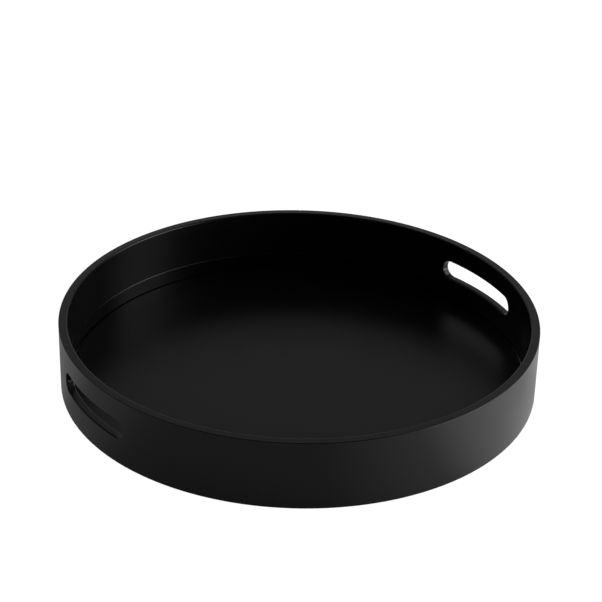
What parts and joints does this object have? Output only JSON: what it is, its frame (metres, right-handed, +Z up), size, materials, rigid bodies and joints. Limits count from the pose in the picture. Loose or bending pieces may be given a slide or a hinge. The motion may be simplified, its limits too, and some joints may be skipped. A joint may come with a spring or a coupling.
{
  "type": "round serving tray",
  "caption": "Round black lacquered serving tray with an upright bentwood rim, a thin flat base and a finger slot cut through the rim on each side.",
  "frame": {"origin": "centre of the round tray on the surface that it stands on", "axes": "+Z up out of the tray's mouth, +X and -X out through the two finger slots"},
  "size_m": [0.4, 0.4, 0.0585],
  "materials": {
    "rim_lacquer": "satin black lacquer over bent wood veneer",
    "panel_lacquer": "satin black lacquer over a thin wood-fibre panel"
  },
  "bodies": {
    "root": {"rim_outer_ply": "rim_lacquer", "rim_core_ply": "rim_lacquer", "rim_inner_ply": "rim_lacquer", "base_panel": "panel_lacquer"}
  },
  "joints": []
}
